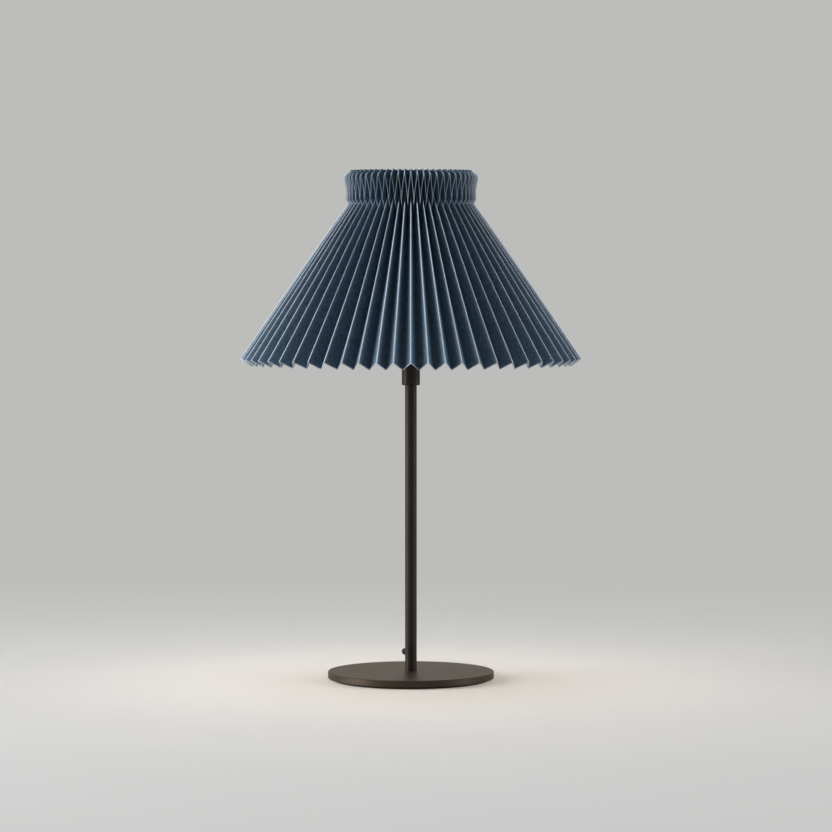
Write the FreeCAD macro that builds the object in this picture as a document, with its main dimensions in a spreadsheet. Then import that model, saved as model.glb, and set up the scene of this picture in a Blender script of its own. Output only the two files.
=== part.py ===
import FreeCAD, Part
import math
import os

import Sketcher

Vector = FreeCAD.Vector
Rotation = FreeCAD.Rotation
Placement = FreeCAD.Placement

# Driving sizes in millimetres (angles in degrees). Z is up and the lamp stands on Z = 0.
DIMENSIONS = {
    # foot
    "base_radius": 85.0,
    "base_thickness": 7.0,
    "base_edge_chamfer": 0.6,
    "pad_radius": 79.5,
    "pad_thickness": 2.0,
    "recess_radius": 10.0,
    "recess_depth": 4.6,
    "foot_screw_radius": 3.0,
    "foot_screw_grip": 11.0,
    "foot_screw_head_radius": 5.25,
    "foot_screw_head_height": 3.2,
    "foot_socket_radius": 2.25,
    "foot_socket_depth": 1.9,
    "washer_radius": 7.0,
    "washer_thickness": 1.0,
    "plug_height": 11.0,
    # stem, cord outlet and neck
    "stem_radius": 6.0,
    "stem_wall": 1.0,
    "stem_length": 313.0,
    "gland_height": 28.0,
    "gland_azimuth": 125.0,
    "gland_reach": 11.6,
    "gland_inset": 0.6,
    "gland_radius": 3.3,
    "gland_neck_radius": 3.0,
    "gland_bore_radius": 2.6,
    "sleeve_radius": 9.3,
    "sleeve_length": 42.0,
    "sleeve_overlap": 20.0,
    "set_screw_radius": 2.0,
    "set_screw_drop": 8.0,
    "set_socket_radius": 1.1,
    "set_socket_depth": 1.5,
    "nipple_radius": 5.0,
    "nipple_bore_radius": 3.2,
    "nipple_length": 24.0,
    "nipple_rise": 1.0,
    # lampholder
    "holder_radius": 19.5,
    "holder_wall": 2.5,
    "cap_height": 22.0,
    "cap_floor": 5.0,
    "cap_ledge_height": 14.0,
    "cap_shoulder_height": 12.1,
    "cap_dome_radius": 14.6,
    "flange_radius": 22.5,
    "flange_thickness": 3.0,
    "skirt_height": 38.0,
    "block_radius": 16.4,
    "block_height": 14.0,
    "terminal_offset": 8.5,
    "terminal_pocket_depth": 5.0,
    "terminal_screw_radius": 1.75,
    "terminal_screw_length": 4.0,
    "shell_radius": 13.7,
    "shell_wall": 0.4,
    "shell_height": 25.0,
    "shell_lip": 1.6,
    "contact_width": 6.0,
    "contact_thickness": 0.5,
    "contact_rise": 4.0,
    "contact_fold": 0.8,
    "contact_tongue": 1.2,
    "ring_nut_radius": 27.0,
    "ring_nut_height": 8.0,
    "ring_nut_notches": 24,
    "notch_radius": 1.6,
    "notch_offset": 0.8,
    # wire carrier of the shade
    "hub_radius": 31.0,
    "hub_thickness": 1.5,
    "arm_count": 3,
    "arm_wire_radius": 1.5,
    "arm_reach": 47.0,
    "arm_bend": 9.0,
    "ring_wire_radius": 1.6,
    "ring_drop": 4.8,
    # bulb
    "bulb_cap_radius": 13.0,
    "bulb_cap_height": 20.0,
    "bulb_cap_wall": 0.4,
    "bulb_tip_radius": 4.5,
    "bulb_tip_face_radius": 2.7,
    "bulb_tip_height": 1.2,
    "bulb_insulator_height": 3.5,
    "bulb_neck_radius": 22.5,
    "bulb_neck_height": 20.0,
    "bulb_neck_flare": 36.0,
    "bulb_globe_radius": 30.0,
    "bulb_globe_rise": 34.5,
    "bulb_shoulder_radius": 60.0,
    "bulb_wall": 1.2,
    # cable inside the stem
    "cable_radius": 2.5,
    "cable_start_height": 34.0,
    "cable_rise": 1.5,
    "core_radius": 0.9,
    "core_spread": 1.25,
    # folded paper shade
    "pleat_count": 60,
    "panel_count": 12,
    "pleat_width": 15.7,
    "paper_thickness": 0.4,
    "twist_steps": 4,
    "hem_radius": 174.1,
    "hem_height": 329.5,
    "cone_angle": 34.6,
    "collar_foot_radius": 66.8,
    "collar_foot_height": 491.0,
    "collar_brow_radius": 68.7,
    "collar_brow_height": 513.5,
    "shade_top_height": 521.0,
    # clearances
    "press_gap": 0.05,
    "slip_gap": 0.3,
}

# Share of the globe's radius at which its side runs over into the shoulder.
GLOBE_SIDE = 0.9
# Share of a core's height that it runs straight before it slants out to its terminal.
CORE_LEAD = 0.3
# Direction in degrees, seen from above, of the carrier's first arm and of the shade's front ridge.
FIRST_ARM = 90.0
FRONT_RIDGE = -90.0


class Size:
    """A number together with the sheet expression that gives it."""

    def __init__(self, value, text):
        self.value = value
        self.text = text

    def join(self, other, sign):
        other = as_size(other)
        text = "(%s %s %s)" % (self.text, sign, other.text)
        results = {
            "+": self.value + other.value,
            "-": self.value - other.value,
            "*": self.value * other.value,
        }
        return Size(results[sign], text)

    def __add__(self, other):
        return self.join(other, "+")

    def __sub__(self, other):
        return self.join(other, "-")

    def __mul__(self, other):
        return self.join(other, "*")


def as_size(number):
    if isinstance(number, Size):
        return number
    return Size(float(number), repr(float(number)))


class Sizes:
    """Gives each driving size by name, as the sheet holds it."""

    def __init__(self, sheet):
        for name in DIMENSIONS:
            value = float(sheet.get(name))
            setattr(self, name, Size(value, "Sizes." + name))


def make_sheet(doc):
    sheet = doc.addObject("Spreadsheet::Sheet", "Sizes")
    for row, (name, value) in enumerate(DIMENSIONS.items(), start=1):
        sheet.set("A%d" % row, name)
        sheet.set("B%d" % row, "%g" % value)
        sheet.setAlias("B%d" % row, name)
    doc.recompute()
    return sheet


def origin_plane(body, role):
    return [item for item in body.Origin.OriginFeatures if item.Role == role][0]


def bind(sketch, name, index, size):
    """Ties one sketch constraint to the sheet."""
    sketch.renameConstraint(index, name)
    sketch.setExpression("Constraints." + name, size.text)


def place_point(sketch, name, geometry, end, point):
    """Holds a sketch point at (radius, height); a plain 0 keeps it on that axis."""
    axes = (("DistanceX", -2, "across"), ("DistanceY", -1, "along"))
    for (kind, axis, word), size in zip(axes, point):
        if isinstance(size, Size):
            rule = Sketcher.Constraint(kind, -1, 1, geometry, end, size.value)
            bind(sketch, "%s_%s" % (name, word), sketch.addConstraint(rule), size)
        else:
            sketch.addConstraint(Sketcher.Constraint("PointOnObject", geometry, end, axis))


def on_axis(corner):
    return not isinstance(corner[0], Size)


def numbers(point):
    return Vector(as_size(point[0]).value, as_size(point[1]).value, 0)


def arc_between(start, stop, radius):
    """The short arc from start to stop; a positive radius turns left, a negative one right."""
    chord = stop - start
    left = Vector(-chord.y, chord.x, 0).normalize()
    rise = math.sqrt(radius ** 2 - (chord.Length / 2) ** 2)
    centre = (start + stop) / 2 + left * math.copysign(rise, radius)
    first, last = (start, stop) if radius > 0 else (stop, start)
    from_angle = math.atan2(first.y - centre.y, first.x - centre.x)
    to_angle = math.atan2(last.y - centre.y, last.x - centre.x)
    circle = Part.Circle(centre, Vector(0, 0, 1), abs(radius))
    return Part.ArcOfCircle(circle, from_angle, to_angle)


def outline_sketch(body, name, role, outline):
    """Draws a closed outline. Each corner is (across, along) or (across, along, arc radius)."""
    sketch = body.newObject("Sketcher::SketchObject", name)
    sketch.AttachmentSupport = [(origin_plane(body, role), "")]
    sketch.MapMode = "FlatFace"
    ends = []
    for index, corner in enumerate(outline):
        start = numbers(corner)
        follower = outline[(index + 1) % len(outline)]
        stop = numbers(follower)
        if len(follower) == 2:
            sketch.addGeometry(Part.LineSegment(start, stop), False)
            ends.append((1, 2))
        else:
            bulge = as_size(follower[2]).value
            sketch.addGeometry(arc_between(start, stop, bulge), False)
            ends.append((1, 2) if bulge > 0 else (2, 1))
    for index, corner in enumerate(outline):
        following = (index + 1) % len(outline)
        join = Sketcher.Constraint("Coincident", index, ends[index][1], following, ends[following][0])
        sketch.addConstraint(join)
        place_point(sketch, "corner%d" % index, index, ends[index][0], corner[:2])
        if len(outline[following]) == 2:
            continue
        if on_axis(corner) or on_axis(outline[following]):
            sketch.addConstraint(Sketcher.Constraint("PointOnObject", index, 3, -2))
            continue
        bulge = as_size(outline[following][2])
        rule = Sketcher.Constraint("Radius", index, abs(bulge.value))
        sign = math.copysign(1, bulge.value)
        bind(sketch, "arc%d" % index, sketch.addConstraint(rule), bulge * sign)
    return sketch


def new_body(doc, name):
    body = doc.addObject("PartDesign::Body", name)
    body.Label = name
    return body


def turned(doc, name, outline):
    """A piece turned about the Z axis from its outline of (radius, height) corners."""
    body = new_body(doc, name)
    sketch = outline_sketch(body, name + "_outline", "XZ_Plane", outline)
    feature = body.newObject("PartDesign::Revolution", name + "_turning")
    feature.Profile = sketch
    feature.ReferenceAxis = (sketch, ["V_Axis"])
    feature.Angle = 360
    sketch.Visibility = False
    return body


def rod(doc, name, radius, height, placement):
    """A straight cylinder whose radius and height follow the sheet."""
    cylinder = doc.addObject("Part::Cylinder", name)
    cylinder.setExpression("Radius", as_size(radius).text)
    cylinder.setExpression("Height", as_size(height).text)
    cylinder.Placement = placement
    return cylinder


def cut(doc, name, base, tool):
    result = doc.addObject("Part::Cut", name)
    result.Label = name
    result.Base = base
    result.Tool = tool
    return result


def fuse(doc, name, pieces):
    result = doc.addObject("Part::MultiFuse", name)
    result.Label = name
    result.Shapes = pieces
    return result


def hexagon(doc, name, radius, height, placement):
    prism = doc.addObject("Part::Prism", name)
    prism.Polygon = 6
    prism.setExpression("Circumradius", as_size(radius).text)
    prism.setExpression("Height", as_size(height).text)
    prism.Placement = placement
    return prism


def upright(height):
    return Placement(Vector(0, 0, as_size(height).value), Rotation())


def make_levels(s):
    """Heights that the stacked pieces share, from the table upwards."""
    levels = {}
    levels["pad_top"] = s.pad_thickness
    levels["recess_top"] = levels["pad_top"] + s.recess_depth
    levels["base_top"] = levels["pad_top"] + s.base_thickness
    levels["stem_top"] = levels["base_top"] + s.stem_length
    levels["sleeve_foot"] = levels["stem_top"] - s.sleeve_overlap
    levels["holder_foot"] = levels["sleeve_foot"] + s.sleeve_length
    levels["cap_top"] = levels["holder_foot"] + s.cap_height
    levels["ledge"] = levels["holder_foot"] + s.cap_ledge_height
    levels["block_top"] = levels["ledge"] + s.block_height
    levels["flange_top"] = levels["cap_top"] + s.flange_thickness
    levels["hub_foot"] = levels["flange_top"] + s.slip_gap
    levels["hub_top"] = levels["hub_foot"] + s.hub_thickness
    levels["nut_foot"] = levels["hub_top"] + s.slip_gap
    levels["skirt_top"] = levels["cap_top"] + s.skirt_height
    levels["bulb_foot"] = levels["block_top"] + s.contact_rise + s.slip_gap
    levels["insulator_foot"] = levels["bulb_foot"] + s.bulb_tip_height
    levels["bulb_cap_foot"] = levels["insulator_foot"] + s.bulb_insulator_height
    levels["bulb_neck_foot"] = levels["bulb_cap_foot"] + s.bulb_cap_height
    levels["globe_foot"] = levels["bulb_neck_foot"] + s.bulb_neck_height
    levels["globe_centre"] = levels["globe_foot"] + s.bulb_globe_rise
    return levels


def make_foot(doc, s, at):
    """Steel disc, its pad underneath and the screw that holds the stem."""
    hole = s.foot_screw_radius + s.slip_gap
    edge = s.base_edge_chamfer
    disc = turned(doc, "base_disc", [
        (s.recess_radius, at["pad_top"]),
        (s.base_radius - edge, at["pad_top"]),
        (s.base_radius, at["pad_top"] + edge),
        (s.base_radius, at["base_top"] - edge),
        (s.base_radius - edge, at["base_top"]),
        (hole, at["base_top"]),
        (hole, at["recess_top"]),
        (s.recess_radius, at["recess_top"]),
    ])
    pad = turned(doc, "base_pad", [
        (0, 0),
        (s.pad_radius, 0),
        (s.pad_radius, at["pad_top"]),
        (0, at["pad_top"]),
    ])
    head_top = at["recess_top"] - s.washer_thickness
    head_foot = head_top - s.foot_screw_head_height
    screw_top = head_top + s.foot_screw_grip
    screw_blank = turned(doc, "base_screw_blank", [
        (0, head_foot),
        (s.foot_screw_radius, head_foot),
        (s.foot_screw_head_radius, head_top, s.foot_screw_head_radius),
        (s.foot_screw_radius, head_top),
        (s.foot_screw_radius, screw_top),
        (0, screw_top),
    ])
    socket = hexagon(doc, "base_screw_socket", s.foot_socket_radius, s.foot_socket_depth,
                     upright(head_foot))
    screw = cut(doc, "base_screw", screw_blank, socket)
    washer = turned(doc, "base_washer", [
        (hole, head_top),
        (s.washer_radius, head_top),
        (s.washer_radius, at["recess_top"]),
        (hole, at["recess_top"]),
    ])
    plug_radius = s.stem_radius - s.stem_wall - s.press_gap
    thread = s.foot_screw_radius + s.press_gap
    plug_top = at["base_top"] + s.plug_height
    plug = turned(doc, "foot_plug", [
        (thread, at["base_top"]),
        (plug_radius, at["base_top"]),
        (plug_radius, plug_top),
        (0, plug_top),
        (0, screw_top + s.slip_gap),
        (thread, screw_top + s.slip_gap),
    ])
    return [disc, pad, screw, washer, plug]


def gland_frame(s):
    """Placement whose Z axis runs level and outwards along the cord outlet."""
    azimuth = math.radians(s.gland_azimuth.value)
    spin = Rotation(Vector(0, 0, 1), Vector(math.cos(azimuth), math.sin(azimuth), 0))
    return Placement(Vector(0, 0, s.gland_height.value), spin)


def make_stem(doc, s, at):
    """Stem tube with its cord hole, and the bush that lines that hole."""
    bore = s.stem_radius - s.stem_wall
    tube = turned(doc, "stem_tube_blank", [
        (bore, at["base_top"]),
        (s.stem_radius, at["base_top"]),
        (s.stem_radius, at["stem_top"]),
        (bore, at["stem_top"]),
    ])
    frame = gland_frame(s)
    reach = s.gland_reach + s.press_gap
    drill = rod(doc, "cord_hole", s.gland_neck_radius + s.press_gap, reach, frame)
    stem = cut(doc, "stem_tube", tube, drill)

    flange = rod(doc, "gland_flange", s.gland_radius, s.gland_reach, frame)
    around = rod(doc, "gland_saddle", s.stem_radius + s.press_gap, s.gland_height * 2,
                 Placement())
    saddle = cut(doc, "gland_head", flange, around)
    neck = rod(doc, "gland_neck", s.gland_neck_radius, s.gland_reach, frame)
    inside = rod(doc, "gland_inner_limit", bore - s.gland_inset, s.gland_height * 2, Placement())
    lining = cut(doc, "gland_lining", neck, inside)
    solid = fuse(doc, "gland_solid", [saddle, lining])
    passage = rod(doc, "gland_passage", s.gland_bore_radius, reach, frame)
    gland = cut(doc, "cord_gland", solid, passage)
    return [stem, gland]


def make_neck(doc, s, at):
    """Sleeve on the stem's top, its set screw and the nipple that carries the lampholder."""
    edge = s.base_edge_chamfer
    stem_bore = s.stem_radius + s.press_gap
    tap = s.nipple_radius + s.press_gap
    blank = turned(doc, "neck_sleeve_blank", [
        (stem_bore, at["sleeve_foot"]),
        (s.sleeve_radius - edge, at["sleeve_foot"]),
        (s.sleeve_radius, at["sleeve_foot"] + edge),
        (s.sleeve_radius, at["holder_foot"]),
        (tap, at["holder_foot"]),
        (tap, at["stem_top"]),
        (stem_bore, at["stem_top"]),
    ])
    middle = at["stem_top"] - s.set_screw_drop
    backwards = Rotation(Vector(0, 0, 1), Vector(0, 1, 0))
    seat = Vector(0, (s.stem_radius + s.press_gap).value, middle.value)
    hole = rod(doc, "set_screw_hole", s.set_screw_radius + s.press_gap, s.sleeve_radius,
               Placement(seat, backwards))
    sleeve = cut(doc, "neck_sleeve", blank, hole)

    length = s.sleeve_radius - s.stem_radius - s.slip_gap
    screw_blank = rod(doc, "set_screw_blank", s.set_screw_radius, length,
                      Placement(seat, backwards))
    socket_foot = seat + Vector(0, (length - s.set_socket_depth).value, 0)
    socket = hexagon(doc, "set_screw_socket", s.set_socket_radius, s.set_socket_depth,
                     Placement(socket_foot, backwards))
    screw = cut(doc, "sleeve_set_screw", screw_blank, socket)

    nipple_foot = at["holder_foot"] + s.cap_floor + s.nipple_rise - s.nipple_length
    nipple = turned(doc, "threaded_nipple", [
        (s.nipple_bore_radius, nipple_foot),
        (s.nipple_radius, nipple_foot),
        (s.nipple_radius, nipple_foot + s.nipple_length),
        (s.nipple_bore_radius, nipple_foot + s.nipple_length),
    ])
    return [sleeve, screw, nipple]


def make_lampholder(doc, s, at):
    """Domed cap, terminal block with its contacts, and the flanged outer skirt."""
    tap = s.nipple_radius + s.press_gap
    floor = at["holder_foot"] + s.cap_floor
    inner = s.holder_radius - s.holder_wall
    ledge_radius = inner - s.holder_wall
    shoulder = at["holder_foot"] + s.cap_shoulder_height
    cap = turned(doc, "lampholder_cap", [
        (tap, at["holder_foot"]),
        (s.sleeve_radius, at["holder_foot"]),
        (s.holder_radius, shoulder, s.cap_dome_radius),
        (s.holder_radius, at["cap_top"]),
        (inner, at["cap_top"]),
        (inner, at["ledge"]),
        (ledge_radius, at["ledge"]),
        (ledge_radius, shoulder - s.holder_wall),
        (tap, floor, s.cap_dome_radius * -1.0),
    ])
    edge = s.base_edge_chamfer
    skirt = turned(doc, "lampholder_skirt", [
        (inner, at["cap_top"]),
        (s.flange_radius, at["cap_top"]),
        (s.flange_radius, at["flange_top"]),
        (s.holder_radius, at["flange_top"]),
        (s.holder_radius, at["skirt_top"] - edge),
        (s.holder_radius - edge, at["skirt_top"]),
        (inner, at["skirt_top"]),
    ])

    block_blank = turned(doc, "terminal_block_blank", [
        (0, at["ledge"]),
        (s.block_radius, at["ledge"]),
        (s.block_radius, at["block_top"]),
        (0, at["block_top"]),
    ])
    drop = s.terminal_pocket_depth
    pockets = []
    screws = []
    for side, word in ((1, "right"), (-1, "left")):
        top = Vector(side * s.terminal_offset.value, 0, (at["block_top"] - drop).value)
        pocket_radius = s.terminal_screw_radius + s.slip_gap
        pockets.append(rod(doc, "terminal_pocket_" + word, pocket_radius, drop,
                           Placement(top, Rotation())))
        screws.append(rod(doc, "terminal_screw_" + word, s.terminal_screw_radius,
                          s.terminal_screw_length, Placement(top, Rotation())))
    both = fuse(doc, "terminal_pockets", pockets)
    block = cut(doc, "terminal_block", block_blank, both)
    terminal_screws = doc.addObject("Part::Compound", "terminal_screws")
    terminal_screws.Label = "terminal_screws"
    terminal_screws.Links = screws

    shell_inner = s.shell_radius - s.shell_wall
    shell = turned(doc, "screw_shell", [
        (shell_inner - s.shell_lip, at["block_top"]),
        (s.shell_radius, at["block_top"]),
        (s.shell_radius, at["block_top"] + s.shell_height),
        (shell_inner, at["block_top"] + s.shell_height),
        (shell_inner, at["block_top"] + s.shell_wall),
        (shell_inner - s.shell_lip, at["block_top"] + s.shell_wall),
    ])
    contact = make_contact(doc, s, at)
    return [cap, skirt, block, terminal_screws, shell, contact]


def make_contact(doc, s, at):
    """Springy centre contact: a strip bent up from the block to the bulb's tip."""
    body = new_body(doc, "centre_contact")
    half = s.contact_width * 0.5
    foot = at["block_top"]
    top = foot + s.contact_rise
    thick = s.contact_thickness
    sketch = outline_sketch(body, "centre_contact_outline", "XZ_Plane", [
        (half * -1.0, foot),
        (half, foot),
        (half, foot + thick),
        (half * -1.0 + s.contact_fold, foot + thick),
        (half, top - thick),
        (half, top),
        (half * -1.0 + thick, top),
        (half * -1.0 + thick, top - thick),
        (s.contact_tongue, top - thick),
        (half * -1.0, foot + thick),
    ])
    pad = body.newObject("PartDesign::Pad", "centre_contact_strip")
    pad.Profile = sketch
    pad.setExpression("Length", s.contact_width.text)
    pad.Midplane = True
    sketch.Visibility = False
    return body


def make_ring_nut(doc, s, at):
    """Threaded ring that clamps the carrier's hub; its rim has finger notches."""
    bore = s.holder_radius + s.press_gap
    foot = at["nut_foot"]
    top = foot + s.ring_nut_height
    edge = s.base_edge_chamfer
    body = turned(doc, "shade_ring_nut", [
        (bore, foot),
        (s.ring_nut_radius, foot),
        (s.ring_nut_radius, top - edge),
        (s.ring_nut_radius - edge, top),
        (bore, top),
    ])
    sketch = body.newObject("Sketcher::SketchObject", "ring_nut_notch_circle")
    sketch.AttachmentSupport = [(origin_plane(body, "XY_Plane"), "")]
    sketch.MapMode = "FlatFace"
    reach = s.ring_nut_radius + s.notch_offset
    circle = Part.Circle(Vector(reach.value, 0, 0), Vector(0, 0, 1), s.notch_radius.value)
    sketch.addGeometry(circle, False)
    sketch.addConstraint(Sketcher.Constraint("PointOnObject", 0, 3, -1))
    rule = Sketcher.Constraint("DistanceX", -1, 1, 0, 3, reach.value)
    bind(sketch, "notch_reach", sketch.addConstraint(rule), reach)
    rule = Sketcher.Constraint("Radius", 0, s.notch_radius.value)
    bind(sketch, "notch_radius", sketch.addConstraint(rule), s.notch_radius)
    doc.recompute()
    pocket = body.newObject("PartDesign::Pocket", "ring_nut_notch")
    pocket.Profile = sketch
    pocket.Type = "ThroughAll"
    pocket.Reversed = True
    sketch.Visibility = False
    doc.recompute()
    pattern = body.newObject("PartDesign::PolarPattern", "ring_nut_notches")
    pattern.Originals = [pocket]
    pattern.Axis = (sketch, ["N_Axis"])
    pattern.Angle = 360
    pattern.setExpression("Occurrences", s.ring_nut_notches.text)
    body.Tip = pattern
    return [body]


class Fold:
    """Half profile of the folded paper in one plane through the lamp's axis.

    The strip is folded to and fro into pleats of equal width. Seen in a plane through the
    axis, each pleat is a band between a ridge line and a valley line, and the two crossing
    creases of the collar mirror that band, first at the neck and then at the brow.
    """

    def __init__(self, s):
        self.width = s.pleat_width.value
        self.half_step = math.pi / s.pleat_count.value
        self.thickness = s.paper_thickness.value
        lean = -math.radians(s.cone_angle.value)
        foot = (s.collar_foot_radius.value, s.collar_foot_height.value)
        brow = (s.collar_brow_radius.value, s.collar_brow_height.value)
        hem = (s.hem_radius.value, s.hem_height.value)
        crease = math.hypot(brow[0] - foot[0], brow[1] - foot[1])
        crease_lean = math.atan2(brow[0] - foot[0], brow[1] - foot[1])
        spread = math.asin(self.depth(brow[0]) / crease)
        up = crease_lean + spread
        top_lean = crease_lean - spread

        hem_valley = across(hem, lean, -self.depth(hem[0]))
        neck_depth = self.depth(foot[0] - self.width)
        neck_ridge = meet(hem, lean, brow, up)
        valley_start = across(neck_ridge, lean, -neck_depth)
        valley_lean = math.atan2(valley_start[0] - hem_valley[0], valley_start[1] - hem_valley[1])
        neck_valley = meet(hem_valley, valley_lean, foot, up)
        rise = s.shade_top_height.value - brow[1]
        top_ridge = along(brow, top_lean, rise / math.cos(top_lean))
        top_valley = across(top_ridge, top_lean, -self.depth(brow[0]))
        self.ridge_side = [hem, neck_ridge, brow, top_ridge]
        self.valley_side = [hem_valley, neck_valley, foot, top_valley]

    def depth(self, radius):
        """Pleat depth where neighbouring folds stand half a pitch apart."""
        return math.sqrt(self.width ** 2 - (radius * math.sin(self.half_step)) ** 2)


def along(point, lean, length):
    """Walks from a (radius, height) point in a direction that leans out from the vertical."""
    return (point[0] + length * math.sin(lean), point[1] + length * math.cos(lean))


def across(point, lean, length):
    """Walks square to that direction; a positive length leads outwards."""
    return (point[0] + length * math.cos(lean), point[1] - length * math.sin(lean))


def meet(first, first_lean, second, second_lean):
    """Where two leaning lines cross in the (radius, height) plane."""
    across_gap = second[0] - first[0]
    up_gap = second[1] - first[1]
    turn = math.sin(first_lean - second_lean)
    length = (across_gap * math.cos(second_lean) - up_gap * math.sin(second_lean)) / turn
    return along(first, first_lean, length)


def spatial(point, angle):
    return Vector(point[0] * math.cos(angle), point[0] * math.sin(angle), point[1])


def corner_normal(at_corner, other_side, next_row):
    """Unit normal of a paper face at a corner, from its two edges there."""
    return (other_side - at_corner).cross(next_row - at_corner).normalize()


def inner_skin(fold):
    """The same fold lines on the paper's inner face, one thickness inside the outer one."""
    ridge = [spatial(point, 0) for point in fold.ridge_side]
    valley = [spatial(point, fold.half_step) for point in fold.valley_side]
    skins = []
    for line, other, angle, flip in ((ridge, valley, 0, 1), (valley, ridge, fold.half_step, -1)):
        points = []
        for row, corner in enumerate(line):
            normals = []
            if row > 0:
                normals.append(corner_normal(corner, other[row], line[row - 1]) * -flip)
            if row < len(line) - 1:
                normals.append(corner_normal(corner, other[row], line[row + 1]) * flip)
            outward = Vector(math.cos(angle), math.sin(angle), 0)
            rules = [(normal.dot(outward), normal.z) for normal in normals]
            if len(rules) == 1:
                neighbour = line[row + 1] if row == 0 else line[row - 1]
                run = (neighbour - corner).normalize()
                rules.append((run.dot(outward), run.z))
                wanted = (-fold.thickness, 0.0)
            else:
                wanted = (-fold.thickness, -fold.thickness)
            (a, b), (c, d) = rules
            scale = a * d - b * c
            shift_out = (wanted[0] * d - b * wanted[1]) / scale
            shift_up = (a * wanted[1] - wanted[0] * c) / scale
            radius = math.hypot(corner.x, corner.y) + shift_out
            points.append((radius, corner.z + shift_up))
        skins.append(points)
    return skins


def divided(line, steps):
    """The same line of (radius, height) points with its first, long run cut into equal steps."""
    foot, head = line[0], line[1]
    points = []
    for step in range(steps):
        share = step / steps
        points.append((foot[0] + share * (head[0] - foot[0]), foot[1] + share * (head[1] - foot[1])))
    return points + list(line[1:])


def facets(corner, beside, above, opposite):
    """Two flat triangles that fill a slightly twisted four-cornered patch."""
    triangles = []
    for points in ((corner, beside, opposite), (corner, opposite, above)):
        triangles.append(Part.Face(Part.makePolygon(list(points) + [points[0]])))
    return triangles


def make_panel(fold, pleats, steps, azimuth):
    """A length of the folded strip as one closed solid, from one valley to another."""
    outer = [divided(line, steps) for line in (fold.ridge_side, fold.valley_side)]
    inner = [divided(line, steps) for line in inner_skin(fold)]
    rows = len(outer[0])
    start_angle = azimuth - pleats * fold.half_step
    faces = []
    for index in range(2 * pleats):
        near_angle = start_angle + index * fold.half_step
        far_angle = near_angle + fold.half_step
        rising = index % 2 == 0
        ridge_angle, valley_angle = (far_angle, near_angle) if rising else (near_angle, far_angle)
        outer_ridge = [spatial(point, ridge_angle) for point in outer[0]]
        outer_valley = [spatial(point, valley_angle) for point in outer[1]]
        inner_ridge = [spatial(point, ridge_angle) for point in inner[0]]
        inner_valley = [spatial(point, valley_angle) for point in inner[1]]
        for ridge, valley in ((outer_ridge, outer_valley), (inner_ridge, inner_valley)):
            for row in range(rows - 1):
                faces += facets(ridge[row], valley[row], ridge[row + 1], valley[row + 1])
        for row in (0, rows - 1):
            faces += facets(outer_ridge[row], outer_valley[row], inner_ridge[row], inner_valley[row])
        if index in (0, 2 * pleats - 1):
            for row in range(rows - 1):
                faces += facets(outer_valley[row], inner_valley[row],
                                outer_valley[row + 1], inner_valley[row + 1])
    shell = Part.makeShell(faces)
    shell.sewShape()
    paper = Part.makeSolid(shell)
    if paper.Volume < 0:
        paper.reverse()
    return paper


def make_shade(doc, s, fold):
    """The pleated shade: lengths of one folded strip that meet along valley folds."""
    count = int(s.panel_count.value)
    pleats = int(s.pleat_count.value) // count
    front = make_panel(fold, pleats, int(s.twist_steps.value), math.radians(FRONT_RIDGE))
    panels = []
    for index in range(count):
        panel = doc.addObject("Part::Feature", "shade_panel_%02d" % (index + 1))
        panel.Shape = front
        turn = Rotation(Vector(0, 0, 1), 360.0 * index / count)
        panel.Placement = Placement(Vector(), turn)
        panels.append(panel)
    return panels


def ring_centre(s, fold):
    """Centre of the ring's wire: just inside the paper's valley folds, a little under the neck."""
    foot, neck = inner_skin(fold)[1][:2]
    lean = math.atan2(neck[0] - foot[0], neck[1] - foot[1])
    contact = along(neck, lean, -s.ring_drop.value)
    return across(contact, lean, -(s.ring_wire_radius + s.slip_gap).value)


def make_carrier(doc, s, at, fold):
    """Welded wire carrier: hub plate, bent arms and the ring that the pleats rest on."""
    hub = turned(doc, "carrier_hub", [
        (s.holder_radius + s.slip_gap, at["hub_foot"]),
        (s.hub_radius, at["hub_foot"]),
        (s.hub_radius, at["hub_top"]),
        (s.holder_radius + s.slip_gap, at["hub_top"]),
    ])
    ring_radius, ring_height = ring_centre(s, fold)
    ring = doc.addObject("Part::Torus", "carrier_ring")
    ring.Radius1 = ring_radius
    ring.setExpression("Radius2", s.ring_wire_radius.text)
    ring.Placement = upright(ring_height)
    seats = fuse(doc, "carrier_seats", [hub, ring])

    level = (at["hub_foot"] + s.hub_thickness * 0.5).value
    start = Vector(s.ring_nut_radius.value + s.arm_wire_radius.value, 0, level)
    corner = Vector(s.arm_reach.value, 0, level)
    end = Vector(ring_radius, 0, ring_height)
    wire = bent_rod([start, corner, end], s.arm_bend.value, s.arm_wire_radius.value)
    arms = []
    for index in range(int(s.arm_count.value)):
        blank = doc.addObject("Part::Feature", "carrier_arm_blank_%d" % (index + 1))
        blank.Shape = wire
        turn = Rotation(Vector(0, 0, 1), FIRST_ARM + 360.0 * index / s.arm_count.value)
        blank.Placement = Placement(Vector(), turn)
        arms.append(cut(doc, "carrier_arm_%d" % (index + 1), blank, seats))
    return [hub] + arms + [ring]


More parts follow.
